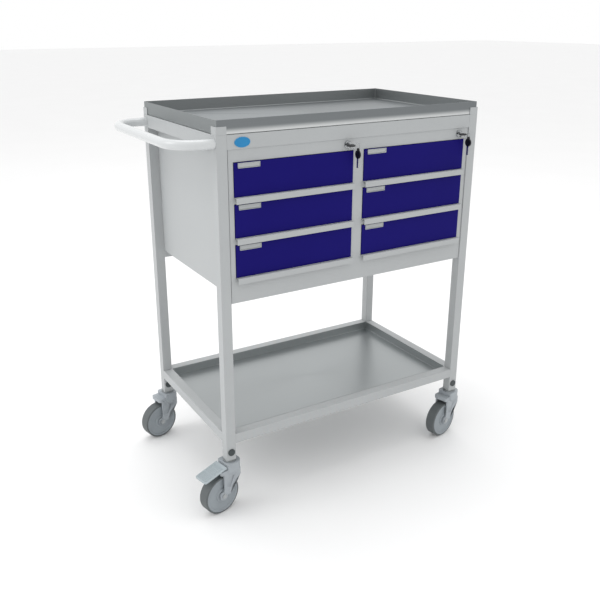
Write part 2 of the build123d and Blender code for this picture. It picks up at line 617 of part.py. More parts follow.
for corner, (stem_x, stem_y) in zip(CORNERS, stem_points):
    place = Location((stem_x, stem_y, 0), (0, 0, CASTOR_TURN))
    save("castor_fork_" + corner, place * (braked_fork if corner in BRAKED else plain_fork))
    save("castor_wheel_" + corner, place * wheel_master)
    save("castor_axle_" + corner, place * axle_master)
    if corner in BRAKED:
        save("brake_pedal_" + corner, place * pedal_master)
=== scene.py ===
# %% [markdown]
# # Dressing a hospital crash cart
# The cart's exact metalwork comes ready made from CAD: tubes, trays, drawers, locks and castors.
# This lesson gives every piece the finish a real ward cart has, models the parts whose moulded
# or bent shapes deserve more care, and sets up a camera and a quiet white studio.
# Everything is in metres. The drawers face -Y, the push handle is at -X and the floor is Z = 0.

import json
import math

import bmesh
import bpy
from mathutils import Matrix, Vector


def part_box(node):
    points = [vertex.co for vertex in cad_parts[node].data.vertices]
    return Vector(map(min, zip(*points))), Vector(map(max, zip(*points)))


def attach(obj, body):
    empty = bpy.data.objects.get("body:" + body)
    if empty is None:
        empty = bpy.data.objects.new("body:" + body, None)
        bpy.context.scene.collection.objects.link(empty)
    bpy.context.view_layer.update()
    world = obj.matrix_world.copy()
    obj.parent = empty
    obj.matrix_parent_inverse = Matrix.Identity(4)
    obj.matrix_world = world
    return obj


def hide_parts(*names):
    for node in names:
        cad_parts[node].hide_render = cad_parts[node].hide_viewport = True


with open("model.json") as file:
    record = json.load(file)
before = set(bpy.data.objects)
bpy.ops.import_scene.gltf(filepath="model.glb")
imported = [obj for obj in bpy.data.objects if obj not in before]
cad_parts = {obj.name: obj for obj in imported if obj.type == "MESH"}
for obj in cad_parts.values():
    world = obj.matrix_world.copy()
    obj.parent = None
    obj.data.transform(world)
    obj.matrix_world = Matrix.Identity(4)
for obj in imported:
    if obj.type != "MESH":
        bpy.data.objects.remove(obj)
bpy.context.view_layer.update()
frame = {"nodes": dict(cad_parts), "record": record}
nodes = frame["nodes"]

# %% [markdown]
# ## Colours and shader nodes
# Paint cards and data sheets give colours as sRGB hex values, while a shader works in linear
# light, so one function does the conversion. A second small function adds any shader node with
# its settings and links, which keeps each finish below readable from top to bottom.

# %% Helpers for colours and nodes
def srgb(hex_text):
    """Turn an sRGB hex colour into linear red, green, blue and alpha."""
    channels = [int(hex_text[i : i + 2], 16) / 255 for i in (1, 3, 5)]
    linear = [c / 12.92 if c <= 0.04045 else ((c + 0.055) / 1.055) ** 2.4 for c in channels]
    return (*linear, 1.0)


def add_node(material, kind, settings=None, links=None):
    """Add one shader node, set its sockets or options, and link its inputs."""
    made = material.node_tree.nodes.new(kind)
    for key, value in (settings or {}).items():
        if isinstance(key, int) or key in made.inputs:
            made.inputs[key].default_value = value
        else:
            setattr(made, key, value)
    for key, source in (links or {}).items():
        material.node_tree.links.new(source, made.inputs[key])
    return made


def new_finish(name, **sockets):
    """Start a material and set the constant sockets of its Principled shader."""
    material = bpy.data.materials.new(name)
    material.use_nodes = True
    shader = material.node_tree.nodes["Principled BSDF"]
    for key, value in sockets.items():
        shader.inputs[key.replace("_", " ")].default_value = value
    return material, shader


def two_tone(material, shader, factor, dark, light):
    """Blend two close colours by a pattern and feed the result to the base colour."""
    mix = add_node(material, "ShaderNodeMix", {"data_type": "RGBA"}, {0: factor})
    mix.inputs[6].default_value = srgb(dark)
    mix.inputs[7].default_value = srgb(light)
    material.node_tree.links.new(mix.outputs[2], shader.inputs["Base Color"])


def rough_range(material, shader, factor, low, high):
    """Let a pattern swing the roughness between two values."""
    span = add_node(material, "ShaderNodeMapRange", {"To Min": low, "To Max": high}, {"Value": factor})
    material.node_tree.links.new(span.outputs["Result"], shader.inputs["Roughness"])


def relief(material, shader, height, distance, strength):
    """Raise the surface by a pattern, distance being the real depth in metres."""
    settings = {"Strength": strength, "Distance": distance}
    bump = add_node(material, "ShaderNodeBump", settings, {"Height": height})
    material.node_tree.links.new(bump.outputs["Normal"], shader.inputs["Normal"])


print("helpers ready")

# %% [markdown]
# ## Powder coat
# The frame, the cabinet and the drawer fronts are steel, sprayed with dry powder and baked. The
# melted powder leaves a satin skin with a faint orange peel. Real orange peel is about 1 mm
# across, too fine to see from two metres, so it is drawn at 4 mm and kept very shallow. A broad,
# slow change of tone stands for coat thickness and for years of wiping down.

# %% Powder coat finishes
DRIFT_SCALE = 5.0  # patches of tone about 200 mm across
PEEL_SCALE = 250.0  # orange peel drawn 4 mm across
PEEL_DEPTH = 0.00008


def powder_coat(name, dark, light, roughness, coat=0.0, specular=0.5):
    """Make a baked powder coat with orange peel and a slow drift of tone."""
    material, shader = new_finish(name, IOR=1.5, Coat_Weight=coat, Coat_Roughness=0.25)
    shader.inputs["Specular IOR Level"].default_value = specular
    place = add_node(material, "ShaderNodeTexCoord")
    drift = add_node(
        material,
        "ShaderNodeTexNoise",
        {"Scale": DRIFT_SCALE, "Detail": 4.0, "Roughness": 0.6},
        {"Vector": place.outputs["Object"]},
    )
    peel = add_node(
        material,
        "ShaderNodeTexNoise",
        {"Scale": PEEL_SCALE, "Detail": 2.0},
        {"Vector": place.outputs["Object"]},
    )
    two_tone(material, shader, drift.outputs["Fac"], dark, light)
    rough_range(material, shader, drift.outputs["Fac"], roughness - 0.05, roughness + 0.08)
    relief(material, shader, peel.outputs["Fac"], PEEL_DEPTH, 0.5)
    return material


frame_paint = powder_coat("pale_grey_powder_coat", "#A8ABAC", "#B0B3B4", 0.42)
drawer_paint = powder_coat("deep_blue_powder_coat", "#150F60", "#1A146C", 0.45, specular=0.05)
handle_paint = powder_coat("white_gloss_powder_coat", "#C4C7C8", "#CCCECF", 0.25, coat=0.3)
print("powder coats:", frame_paint.name, drawer_paint.name, handle_paint.name)

# %% [markdown]
# ## Brushed stainless steel
# Both trays are stainless sheet with a linear brushed grain that runs the length of the cart.
# The grain is what spreads reflections into soft vertical smears. Noise stretched along X gives
# the lines. Real grain is about 0.1 mm wide; it is drawn at about 1 mm so that it still shows.

# %% Brushed stainless finish
GRAIN_SCALE = (6.0, 900.0, 900.0)  # lines about 1 mm wide and 170 mm long
GRAIN_DEPTH = 0.00003
CLOUD_SCALE = 4.0  # patches about 250 mm across
GRAIN_SHARE = 0.6
CLOUD_SHARE = 0.4


def brushed_steel(name, dark, light, roughness):
    """Make stainless sheet with grain lines along X."""
    material, shader = new_finish(name, Metallic=1.0, Anisotropic=0.35)
    place = add_node(material, "ShaderNodeTexCoord")
    stretch = add_node(
        material,
        "ShaderNodeMapping",
        {"Scale": GRAIN_SCALE},
        {"Vector": place.outputs["Object"]},
    )
    grain = add_node(
        material,
        "ShaderNodeTexNoise",
        {"Scale": 1.0, "Detail": 3.0, "Roughness": 0.7},
        {"Vector": stretch.outputs["Vector"]},
    )
    clouds = add_node(
        material,
        "ShaderNodeTexNoise",
        {"Scale": CLOUD_SCALE, "Detail": 3.0},
        {"Vector": place.outputs["Object"]},
    )
    blend = add_node(
        material,
        "ShaderNodeMath",
        {"operation": "MULTIPLY_ADD", 1: GRAIN_SHARE},
        {0: grain.outputs["Fac"]},
    )
    faint_clouds = add_node(
        material,
        "ShaderNodeMath",
        {"operation": "MULTIPLY", 1: CLOUD_SHARE},
        {0: clouds.outputs["Fac"]},
    )
    material.node_tree.links.new(faint_clouds.outputs["Value"], blend.inputs[2])
    two_tone(material, shader, blend.outputs["Value"], dark, light)
    rough_range(material, shader, blend.outputs["Value"], roughness - 0.06, roughness + 0.08)
    relief(material, shader, grain.outputs["Fac"], GRAIN_DEPTH, 0.4)
    return material


def wall_steel_painted_reflection(name, dark, light, painted_reflection_colour, low_z, high_z, roughness):
    """Make the stainless of an upright wall with a painted reflection: paler along its lower fold."""
    material = brushed_steel(name, dark, light, roughness)
    tree = material.node_tree
    shader = tree.nodes["Principled BSDF"]
    grain_tone = shader.inputs["Base Color"].links[0].from_socket
    place = add_node(material, "ShaderNodeTexCoord")
    split = add_node(material, "ShaderNodeSeparateXYZ", {}, {"Vector": place.outputs["Object"]})
    painted_reflection_fade = add_node(
        material,
        "ShaderNodeMapRange",
        {"interpolation_type": "SMOOTHSTEP", "From Min": low_z, "From Max": high_z},
        {"Value": split.outputs["Z"]},
    )
    mix = add_node(
        material, "ShaderNodeMix", {"data_type": "RGBA"}, {0: painted_reflection_fade.outputs["Result"], 7: grain_tone}
    )
    mix.inputs[6].default_value = srgb(painted_reflection_colour)
    tree.links.new(mix.outputs[2], shader.inputs["Base Color"])
    return material


# The wall, end and shelf wall finishes are copies of one stainless in other tones: painted light and
# shade.
tray_steel = brushed_steel("brushed_stainless_tray_floor", "#84888A", "#94989A", 0.5)
tray_wall_inside = brushed_steel("brushed_stainless_tray_wall", "#888C8D", "#96999A", 0.45)
FOLD_LOW_Z = 0.930  # the painted reflection of the rail, a pale band along the lower fold, fades out between these two heights
FOLD_HIGH_Z = 0.944
# The long outside walls are darker as painted reflection, with a pale painted reflection of the rail
# along the lower fold.
tray_outside_painted_reflection = wall_steel_painted_reflection(
    "brushed_stainless_tray_outside_painted_reflection", "#74787A", "#828688", "#D0D2D2", FOLD_LOW_Z, FOLD_HIGH_Z, 0.4
)
tray_wall_end = brushed_steel("brushed_stainless_tray_end", "#8C9091", "#9A9E9F", 0.45)
shelf_steel = brushed_steel("brushed_stainless_shelf_floor", "#A4A8A9", "#B2B6B7", 0.32)
# The shelf walls are a slightly darker copy of the shelf floor: painted shade.
shelf_walls_painted_shade = brushed_steel("brushed_stainless_shelf_wall", "#A2A6A7", "#AEB2B3", 0.45)
print("stainless:", tray_steel.name, shelf_steel.name)

# %% [markdown]
# ## Plated steel, moulded plastic and rubber
# Runners, bolts and swivel races are zinc plated, which dries with a faint mottled bloom. Lock
# barrels are bright chrome plate. The castor forks and pedals are grey moulded nylon, the tyres
# grey non-marking rubber, and the plugs and key heads black plastic with a fine spark-eroded
# grain. Each starts from the usual values of its kind and differs in tone, gloss and grain size.

# %% Plated, moulded and rubber finishes
TONE_SCALE = 30.0  # patches of tone about 33 mm across


def plated(name, dark, light, roughness, bloom_scale):
    """Make a plated metal with a faint mottled bloom."""
    material, shader = new_finish(name, Metallic=1.0)
    place = add_node(material, "ShaderNodeTexCoord")
    bloom = add_node(
        material,
        "ShaderNodeTexNoise",
        {"Scale": bloom_scale, "Detail": 3.0},
        {"Vector": place.outputs["Object"]},
    )
    two_tone(material, shader, bloom.outputs["Fac"], dark, light)
    rough_range(material, shader, bloom.outputs["Fac"], roughness - 0.05, roughness + 0.08)
    return material


def moulded(name, dark, light, roughness, grain_mm, depth_mm):
    """Make a moulded plastic or rubber with a fine grain from the tool."""
    material, shader = new_finish(name, IOR=1.46)
    place = add_node(material, "ShaderNodeTexCoord")
    tone = add_node(
        material,
        "ShaderNodeTexNoise",
        {"Scale": TONE_SCALE, "Detail": 4.0},
        {"Vector": place.outputs["Object"]},
    )
    grain = add_node(
        material,
        "ShaderNodeTexNoise",
        {"Scale": 1000.0 / grain_mm, "Detail": 2.0},
        {"Vector": place.outputs["Object"]},
    )
    two_tone(material, shader, tone.outputs["Fac"], dark, light)
    rough_range(material, shader, tone.outputs["Fac"], roughness - 0.06, roughness + 0.06)
    relief(material, shader, grain.outputs["Fac"], depth_mm / 1000.0, 0.5)
    return material


zinc = plated("zinc_plate", "#A6A9AA", "#BCBFC0", 0.32, 120.0)
chrome = plated("bright_chrome_plate", "#A2A5A7", "#B4B7B9", 0.16, 60.0)
castor_nylon = moulded("grey_moulded_nylon", "#999FA4", "#A5ABB0", 0.42, 1.5, 0.05)
pedal_nylon = moulded("pale_grey_moulded_nylon", "#A0AAAF", "#ACB6BA", 0.4, 1.5, 0.05)
tyre_rubber = moulded("grey_non_marking_rubber", "#565B5D", "#636869", 0.6, 1.8, 0.08)
wheel_core = moulded("grey_polypropylene_wheel_core", "#888F94", "#959CA1", 0.4, 1.5, 0.04)
plug_plastic = moulded("dark_grey_nylon_plug", "#33393A", "#424A4B", 0.45, 1.2, 0.04)
key_plastic = moulded("black_key_head_plastic", "#0B0C0E", "#15161A", 0.35, 1.2, 0.03)
holder_plastic = moulded("pale_grey_card_holder_plastic", "#9CA0A1", "#A8ABAC", 0.45, 1.5, 0.03)
badge_enamel = moulded("blue_enamel_badge", "#0F74AC", "#1A86BC", 0.25, 2.0, 0.01)
badge_rim = moulded("blue_enamel_badge_rim", "#3B86B4", "#4A93BE", 0.25, 2.0, 0.01)
blank_card = moulded("blank_paper_card", "#A6A9AA", "#AEB1B2", 0.8, 1.5, 0.02)
print("finishes:", len(bpy.data.materials))

# %% [markdown]
# ## Giving the CAD pieces their finishes
# The CAD pieces that are already the right shape stay as they are and only change their finish.
# The record says which finish each piece has, so one table from finish name to material covers
# the whole cart.

# %% Paint the CAD pieces
finish_of = {
    "frame_powder_coat": frame_paint,
    "drawer_blue": drawer_paint,
    "stainless_tray": tray_steel,
    "handle_white": handle_paint,
    "badge_blue": badge_enamel,
    "label_grey": holder_plastic,
    "black_plastic": key_plastic,
    "zinc_steel": zinc,
    "lock_chrome": chrome,
    "castor_grey": castor_nylon,
    "wheel_grey": tyre_rubber,
    "pedal_grey": pedal_nylon,
}
for subpart in frame["record"]["subparts"]:
    slots = nodes[subpart["node"]].data.materials
    slots.clear()
    slots.append(finish_of[subpart["material_slot"]])
nodes["castor_fixings"].data.materials[0] = plug_plastic
print("painted", len(nodes), "CAD pieces")

# %% [markdown]
# ## Modelling helpers
# The pieces below are modelled as by hand: a primitive is added at its size and place, shaped in
# edit mode and finished with modifiers. Operators act on everything that is selected, so each
# helper clears the selection first. Faces and edges are then picked by their place or normal.

# %% Helpers for modelling
ROUND_ABOVE = math.radians(32)  # edges sharper than this are rounded
SMOOTH_BELOW = math.radians(40)  # faces that meet flatter than this are shaded as one


def activate(piece):
    """Make one piece the only selected and active object."""
    bpy.ops.object.select_all(action="DESELECT")
    piece.select_set(True)
    bpy.context.view_layer.objects.active = piece


def settle(name):
    """Name the new primitive and move its place and size into its mesh."""
    piece = bpy.context.object
    activate(piece)
    bpy.ops.object.transform_apply(location=True, rotation=True, scale=True)
    piece.name = name
    piece.data.name = name
    return piece


def cube(name, low, high):
    """Add a cube that fills the space between two corners."""
    middle = [(a + b) / 2 for a, b in zip(low, high)]
    size = [b - a for a, b in zip(low, high)]
    bpy.ops.object.select_all(action="DESELECT")
    bpy.ops.mesh.primitive_cube_add(size=1.0, location=middle, scale=size)
    return settle(name)


def cylinder(name, middle, radius, length, axis="Z", sides=64):
    """Add a round bar along X, Y or Z."""
    turn = {"X": (0, math.pi / 2, 0), "Y": (math.pi / 2, 0, 0), "Z": (0, 0, 0)}[axis]
    bpy.ops.object.select_all(action="DESELECT")
    bpy.ops.mesh.primitive_cylinder_add(
        vertices=sides, radius=radius, depth=length, location=middle, rotation=turn
    )
    return settle(name)


def edit(piece, kind, test):
    """Enter edit mode with the faces or edges that pass a test selected."""
    activate(piece)
    bpy.ops.object.mode_set(mode="EDIT")
    bpy.ops.mesh.select_mode(type=kind)
    bpy.ops.mesh.select_all(action="DESELECT")
    mesh = bmesh.from_edit_mesh(piece.data)
    items = mesh.faces if kind == "FACE" else mesh.edges
    picked = [item for item in items if test(item)]
    for item in picked:
        item.select_set(True)
    mesh.select_flush_mode()
    bmesh.update_edit_mesh(piece.data)


def done():
    """Leave edit mode."""
    bpy.ops.object.mode_set(mode="OBJECT")


def edge_middle(edge):
    """The middle of an edge."""
    return (edge.verts[0].co + edge.verts[1].co) / 2


def edge_runs(edge, axis):
    """True if an edge runs along X, Y or Z, given as 0, 1 or 2."""
    along = (edge.verts[1].co - edge.verts[0].co).normalized()
    return abs(along[axis]) > 0.999


def combine(piece, other, operation):
    """Join, cut or intersect a piece with another, which is used up."""
    activate(piece)
    step = piece.modifiers.new(operation.lower(), "BOOLEAN")
    step.object = other
    step.operation = operation
    step.solver = "EXACT"
    bpy.ops.object.modifier_apply(modifier=step.name)
    bpy.data.objects.remove(other)


def soften(piece, width, segments=2):
    """Round every edge that is sharper than an angle, shade it smooth and keep flat faces flat."""
    activate(piece)
    step = piece.modifiers.new("rounding", "BEVEL")
    step.width = width
    step.segments = segments
    step.limit_method = "ANGLE"
    step.angle_limit = ROUND_ABOVE
    step.use_clamp_overlap = True
    bpy.ops.object.modifier_apply(modifier=step.name)
    bpy.ops.object.shade_smooth_by_angle(angle=SMOOTH_BELOW)
    flat = piece.modifiers.new("flat_faces", "WEIGHTED_NORMAL")
    flat.keep_sharp = True
    bpy.ops.object.modifier_apply(modifier=flat.name)


def paint(piece, *materials):
    """Give a piece its materials in slot order."""
    piece.data.materials.clear()
    for material in materials:
        piece.data.materials.append(material)


def paint_faces(piece, index, test):
    """Put the faces whose centre and normal pass a test into a material slot."""
    for face in piece.data.polygons:
        if test(face.center, face.normal):
            face.material_index = index


def hand_over(piece, body, slot_name, *stands_for):
    """Tie a finished piece to its body and hide the CAD pieces it stands for; slot_name is not used.
    """
    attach(piece, body)
    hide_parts(*stands_for)


def placed_copy(master, name, matrix):
    """Copy a master with its own mesh and put the copy's place into that mesh."""
    copy = master.copy()
    copy.data = master.data.copy()
    copy.data.transform(matrix)
    copy.name = name
    copy.data.name = name
    bpy.context.scene.collection.objects.link(copy)
    return copy


body_of_node = {n: b for b, ns in frame["record"]["behaviour"]["bodies"].items() for n in ns}
slot_of_node = {s["node"]: s["material_slot"] for s in frame["record"]["subparts"]}
print("modelling helpers ready")

# %% [markdown]
# ## Rounded edges on tube and sheet
# No bent tube or folded sheet has a knife edge: the tube's corners are drawn to about 2 mm and
# a folded sheet to about its own thickness, and paint gathers there. Each CAD piece of that kind
# is copied, its loose triangles are merged back into flat faces, and a Bevel modifier rounds the
# edges, so that they catch the light.

# %% Round the tubes and the folded sheets
MERGE_DISTANCE = 0.00001
FLAT_WITHIN = math.radians(0.5)  # triangles this close to level become one face


def rounded_copy(node_name, width):
    """Stand a merged copy with rounded edges in for a CAD piece."""
    piece = placed_copy(nodes[node_name], node_name + "_rounded", Matrix.Identity(4))
    for key in list(piece.keys()):
        del piece[key]
    piece.parent = None
    edit(piece, "FACE", lambda face: True)
    bpy.ops.mesh.remove_doubles(threshold=MERGE_DISTANCE)
    bpy.ops.mesh.dissolve_limited(angle_limit=FLAT_WITHIN)
    done()
    soften(piece, width)
    hand_over(piece, body_of_node[node_name], slot_of_node[node_name], node_name)


rounding = {
    "post_": 0.0010,
    "frame_rails": 0.0012,
    "tray_ears": 0.0004,
    "cabinet_face_frame": 0.0005,
    "cabinet_side_": 0.0004,
    "cabinet_back": 0.0004,
    "cabinet_base": 0.0004,
}
for node_name in sorted(nodes):
    for start, width in rounding.items():
        if node_name.startswith(start):
            rounded_copy(node_name, width)

# %% [markdown]
# ## Painted seam
# The folded face frame is tacked to the right post and the seam is filled before painting, so no
# dark slot shows there. The bead is a thin bar whose front edges are rounded over.

# %% Seam between the face frame and the right post
SEAM_SETBACK = 0.0004
SEAM_DEPTH = 0.004
face_low, face_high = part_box("cabinet_face_frame")
right_post_low, right_post_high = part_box("post_front_right")
seam = cube(
    "face_frame_seam",
    (face_high[0], face_low[1] + SEAM_SETBACK, face_low[2]),
    (right_post_low[0], face_low[1] + SEAM_DEPTH, face_high[2]),
)
edit(seam, "EDGE", lambda e: edge_runs(e, 2) and edge_middle(e).y < face_low[1] + 0.001)
bpy.ops.mesh.bevel(offset=0.0005, segments=3, affect="EDGES")
done()
soften(seam, 0.0001, 1)
paint(seam, frame_paint)
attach(seam, "cart")
print("seam length", round(face_high[2] - face_low[2], 4))

# %% [markdown]
# ## Castor wheel
# The wheel is a grey plastic core with a thin rubber tread. It begins as a cylinder. Both side
# faces are inset again and again, each time a little deeper or prouder, which draws the tyre
# wall, the seam, the rim, the dished web and the hub. Bridging the last two faces makes the bore.

# %% Wheel
TRAIL = 0.035
AXLE_HEIGHT = 0.05
WHEEL_RADIUS = 0.05
WHEEL_WIDTH = 0.028
TREAD_CORNER = 0.0024
TYRE_INNER_RADIUS = 0.0456
wheel_middle = Vector((-TRAIL, 0.0, AXLE_HEIGHT))


def wheel_radius(point):
    """Distance of a point from the wheel's axle line."""
    return math.hypot(point.x - wheel_middle.x, point.z - wheel_middle.z)


wheel = cylinder("castor_wheel_master", wheel_middle, WHEEL_RADIUS, WHEEL_WIDTH, "Y", 96)
edit(wheel, "FACE", lambda face: abs(face.normal.y) > 0.9)
rings = [  # width and rise of each ring, from the tread inwards
    (0.0045, 0.0),  # tyre wall
    (0.0005, -0.0007),  # seam, down
    (0.0005, 0.0007),  # seam, up
    (0.0035, -0.0004),  # rim
    (0.0015, -0.0016),  # step down to the web
    (0.0215, -0.0004),  # dished web
    (0.0018, 0.0026),  # side of the hub
    (0.0020, 0.0006),  # edge of the hub
    (0.0101, 0.0),  # face of the hub
]
for thickness, depth in rings:
    bpy.ops.mesh.inset(thickness=thickness, depth=depth, use_boundary=True)
bpy.ops.mesh.bridge_edge_loops()
done()
edit(
    wheel,
    "EDGE",
    lambda e: all(abs(wheel_radius(v.co) - WHEEL_RADIUS) < 0.0001 for v in e.verts)
    and not edge_runs(e, 1),
)
bpy.ops.mesh.bevel(offset=TREAD_CORNER, segments=4, affect="EDGES")
done()
soften(wheel, 0.0003, 2)
paint(wheel, wheel_core, tyre_rubber)
paint_faces(wheel, 1, lambda centre, normal: wheel_radius(centre) > TYRE_INNER_RADIUS)
bore = WHEEL_RADIUS - sum(width for width, rise in rings)
print("wheel faces", len(wheel.data.polygons), "bore", round(bore, 5))

# %% [markdown]
# ## Castor fork
# The fork is one nylon moulding: a square-shouldered crown under the post, a ledge over the wheel
# and two tapering legs that end in round axle bosses, each with a slanted groove. The legs start
# as a cube whose lower face is extruded and scaled twice; crown, ledge and bosses are joined to
# it with Boolean modifiers, and a narrow Bevel gives every edge its moulded radius.

# %% Fork
CROWN_LOW = 0.108
CROWN_TOP = 0.1307
CROWN_BACK_X = -0.021
CROWN_FRONT_X = 0.0235
CROWN_HALF = 0.0225
CROWN_FRONT_RADIUS = 0.017
CROWN_BACK_RADIUS = 0.004
LEG_IN = 0.0165
LEG_OUT = 0.021
LEG_BACK_X = -0.033
LEG_FRONT_X = 0.017
LEG_LOW = 0.094
LEG_TOP = 0.112
LEG_STEPS = ((-0.022, -0.006, 0.72), (-0.022, -0.0165, 0.60))  # drop, lean and squeeze
BOSS_RADIUS = 0.0112
LEDGE_END_X = -0.041
LEDGE_TOP = 0.118
PLAIN_LEDGE_LIFT = 0.0035
LEDGE_RADIUS = 0.005
GROOVE_FACE = 0.0211
GROOVE_DEPTH = 0.0007
GROOVE_LOW = 0.068
GROOVE_TOP = 0.099
GROOVE_LEAN = math.radians(-24)
GROOVE_SHIFT = 0.008
AXLE_RADIUS = 0.0041
SWIVEL_RADIUS = 0.00605
PIN_HOLE_RADIUS = 0.00306
PEDAL_PIVOT = Vector((-0.034, 0.0, 0.114))


def edit_middle(piece):
    """The middle of the selected vertices in edit mode."""
    mesh = bmesh.from_edit_mesh(piece.data)
    chosen = [v.co for v in mesh.verts if v.select]
    return sum(chosen, Vector()) / len(chosen)


def fork_leg(side):
    """Model one leg, on the +Y or the -Y side."""
    low_y, high_y = sorted((side * LEG_IN, side * LEG_OUT))
    leg = cube("leg", (LEG_BACK_X, low_y, LEG_LOW), (LEG_FRONT_X, high_y, LEG_TOP))
    for drop, lean, squeeze in LEG_STEPS:
        edit(leg, "FACE", lambda face: face.normal.z < -0.5)
        bpy.ops.mesh.extrude_region_move(TRANSFORM_OT_translate={"value": (lean, 0, drop)})
        bpy.ops.transform.resize(value=(squeeze, 1, 1), center_override=edit_middle(leg))
        done()
    boss_middle = (-TRAIL, (low_y + high_y) / 2, AXLE_HEIGHT)
    boss = cylinder("boss", boss_middle, BOSS_RADIUS, high_y - low_y, "Y", 48)
    combine(leg, boss, "UNION")
    return leg


def fork_master(braked):
    """Model a fork, with a slot in its ledge where a pedal pivots."""
    crown = cube(
        "castor_fork_master",
        (CROWN_BACK_X, -CROWN_HALF, CROWN_LOW),
        (CROWN_FRONT_X, CROWN_HALF, CROWN_TOP),
    )
    edit(crown, "EDGE", lambda e: edge_runs(e, 2) and edge_middle(e).x > 0)
    bpy.ops.mesh.bevel(offset=CROWN_FRONT_RADIUS, segments=8, affect="EDGES")
    done()
    edit(crown, "EDGE", lambda e: edge_runs(e, 2) and edge_middle(e).x < -0.02)
    bpy.ops.mesh.bevel(offset=CROWN_BACK_RADIUS, segments=3, affect="EDGES")
    done()
    lift = 0.0 if braked else PLAIN_LEDGE_LIFT
    ledge = cube(
        "ledge", (LEDGE_END_X, -LEG_OUT, CROWN_LOW + lift), (0.0, LEG_OUT, LEDGE_TOP + lift)
    )
    edit(ledge, "EDGE", lambda e: edge_runs(e, 2) and edge_middle(e).x < -0.04)
    bpy.ops.mesh.bevel(offset=LEDGE_RADIUS, segments=4, affect="EDGES")
    done()
    combine(crown, ledge, "UNION")
    for side in (-1, 1):
        combine(crown, fork_leg(side), "UNION")
        groove_y = side * GROOVE_FACE
        groove = cube(
            "groove",
            (-0.021, groove_y - GROOVE_DEPTH, GROOVE_LOW),
            (-0.017, groove_y + GROOVE_DEPTH, GROOVE_TOP),
        )
        edit(groove, "FACE", lambda face: True)
        bpy.ops.transform.rotate(
            value=GROOVE_LEAN, orient_axis="Y", center_override=(-0.019, 0, 0.084)
        )
        done()
        groove.data.transform(Matrix.Translation((GROOVE_SHIFT, 0, 0.0)))
        combine(crown, groove, "DIFFERENCE")
    axle_hole = cylinder("axle_hole", (-TRAIL, 0, AXLE_HEIGHT), AXLE_RADIUS, 0.06, "Y", 32)
    combine(crown, axle_hole, "DIFFERENCE")
    swivel_hole = cylinder("swivel_hole", (0, 0, 0.119), SWIVEL_RADIUS, 0.04, "Z", 48)
    combine(crown, swivel_hole, "DIFFERENCE")
    if braked:
        slot_box = cube("pedal_slot", (-0.05, -0.0146, 0.1), (-0.022, 0.0146, 0.125))
        combine(crown, slot_box, "DIFFERENCE")
        pin_hole = cylinder("pin_hole", PEDAL_PIVOT, PIN_HOLE_RADIUS, 0.04, "Y", 32)
        combine(crown, pin_hole, "DIFFERENCE")
    soften(crown, 0.0007, 2)
    paint(crown, castor_nylon)
    print("fork", "braked" if braked else "plain", "faces", len(crown.data.polygons))
    return crown


plain_fork = fork_master(False)
braked_fork = fork_master(True)

# %% [markdown]
# ## Brake pedal
# Stepping on the wide pale tongue locks both wheel and swivel. It is modelled lying flat: a slab
# whose top gets two sunken pads with anti-slip ribs, then the whole slab is turned to its slope.
# The barrel and its stub pins, which turn in the fork, are joined on last.

# %% Pedal
TONGUE_END_X = -0.0925
TONGUE_ROOT_X = -0.0248
TONGUE_HALF = 0.021
TONGUE_LOW = 0.1212
TONGUE_TOP = 0.125
TONGUE_CORNER = 0.006
PAD_SPANS = ((-0.088, -0.066), (-0.062, -0.034))
PAD_HALF = 0.017
PAD_FLOOR = 0.1243
RIB_PITCH = 0.0044
RIB_HALF = 0.0009
RIB_LENGTH_HALF = 0.0155
TONGUE_SLOPE = math.radians(-13.4)
HINGE_X = 0.027
RAISED_TOP = 0.1268


def pedal_master():
    """Model the pedal with its ribbed pads, pivot barrel and pins."""
    slab = cube(
        "brake_pedal_master",
        (TONGUE_END_X, -TONGUE_HALF, TONGUE_LOW),
        (TONGUE_ROOT_X, TONGUE_HALF, TONGUE_TOP),
    )
    edit(slab, "EDGE", lambda e: edge_runs(e, 2) and edge_middle(e).x < -0.09)
    bpy.ops.mesh.bevel(offset=TONGUE_CORNER, segments=5, affect="EDGES")
    done()
    for low_x, high_x in PAD_SPANS:
        pad = cube("pad", (low_x, -PAD_HALF, PAD_FLOOR), (high_x, PAD_HALF, 0.13))
        combine(slab, pad, "DIFFERENCE")
        count = round((high_x - low_x) / RIB_PITCH)
        for i in range(count):
            middle_x = low_x + (i + 0.5) * (high_x - low_x) / count
            rib = cube(
                "rib",
                (middle_x - RIB_HALF, -RIB_LENGTH_HALF, 0.1238),
                (middle_x + RIB_HALF, RIB_LENGTH_HALF, 0.1254),
            )
            combine(slab, rib, "UNION")
    slab.data.transform(
        Matrix.Translation((-HINGE_X, 0, RAISED_TOP))
        @ Matrix.Rotation(TONGUE_SLOPE, 4, "Y")
        @ Matrix.Translation((HINGE_X, 0, -TONGUE_TOP))
    )
    arm = cube("arm", (-0.040, -0.0138, 0.113), (-0.0295, 0.0138, 0.1215))
    combine(slab, arm, "UNION")
    combine(slab, cylinder("barrel", PEDAL_PIVOT, 0.005, 0.0276, "Y", 32), "UNION")
    combine(slab, cylinder("pins", PEDAL_PIVOT, 0.003, 0.0394, "Y", 32), "UNION")
    soften(slab, 0.0004, 2)
    paint(slab, pedal_nylon)
    print("pedal faces", len(slab.data.polygons))
    return slab


pedal = pedal_master()

# %% [markdown]
# ## Placing the castors
# All four castors trail the same way, turned by 12 degrees, as they stop after the cart has been
# pulled by its handle. One master of each piece is copied to every post, and each copy stands in
# for the plainer CAD piece.

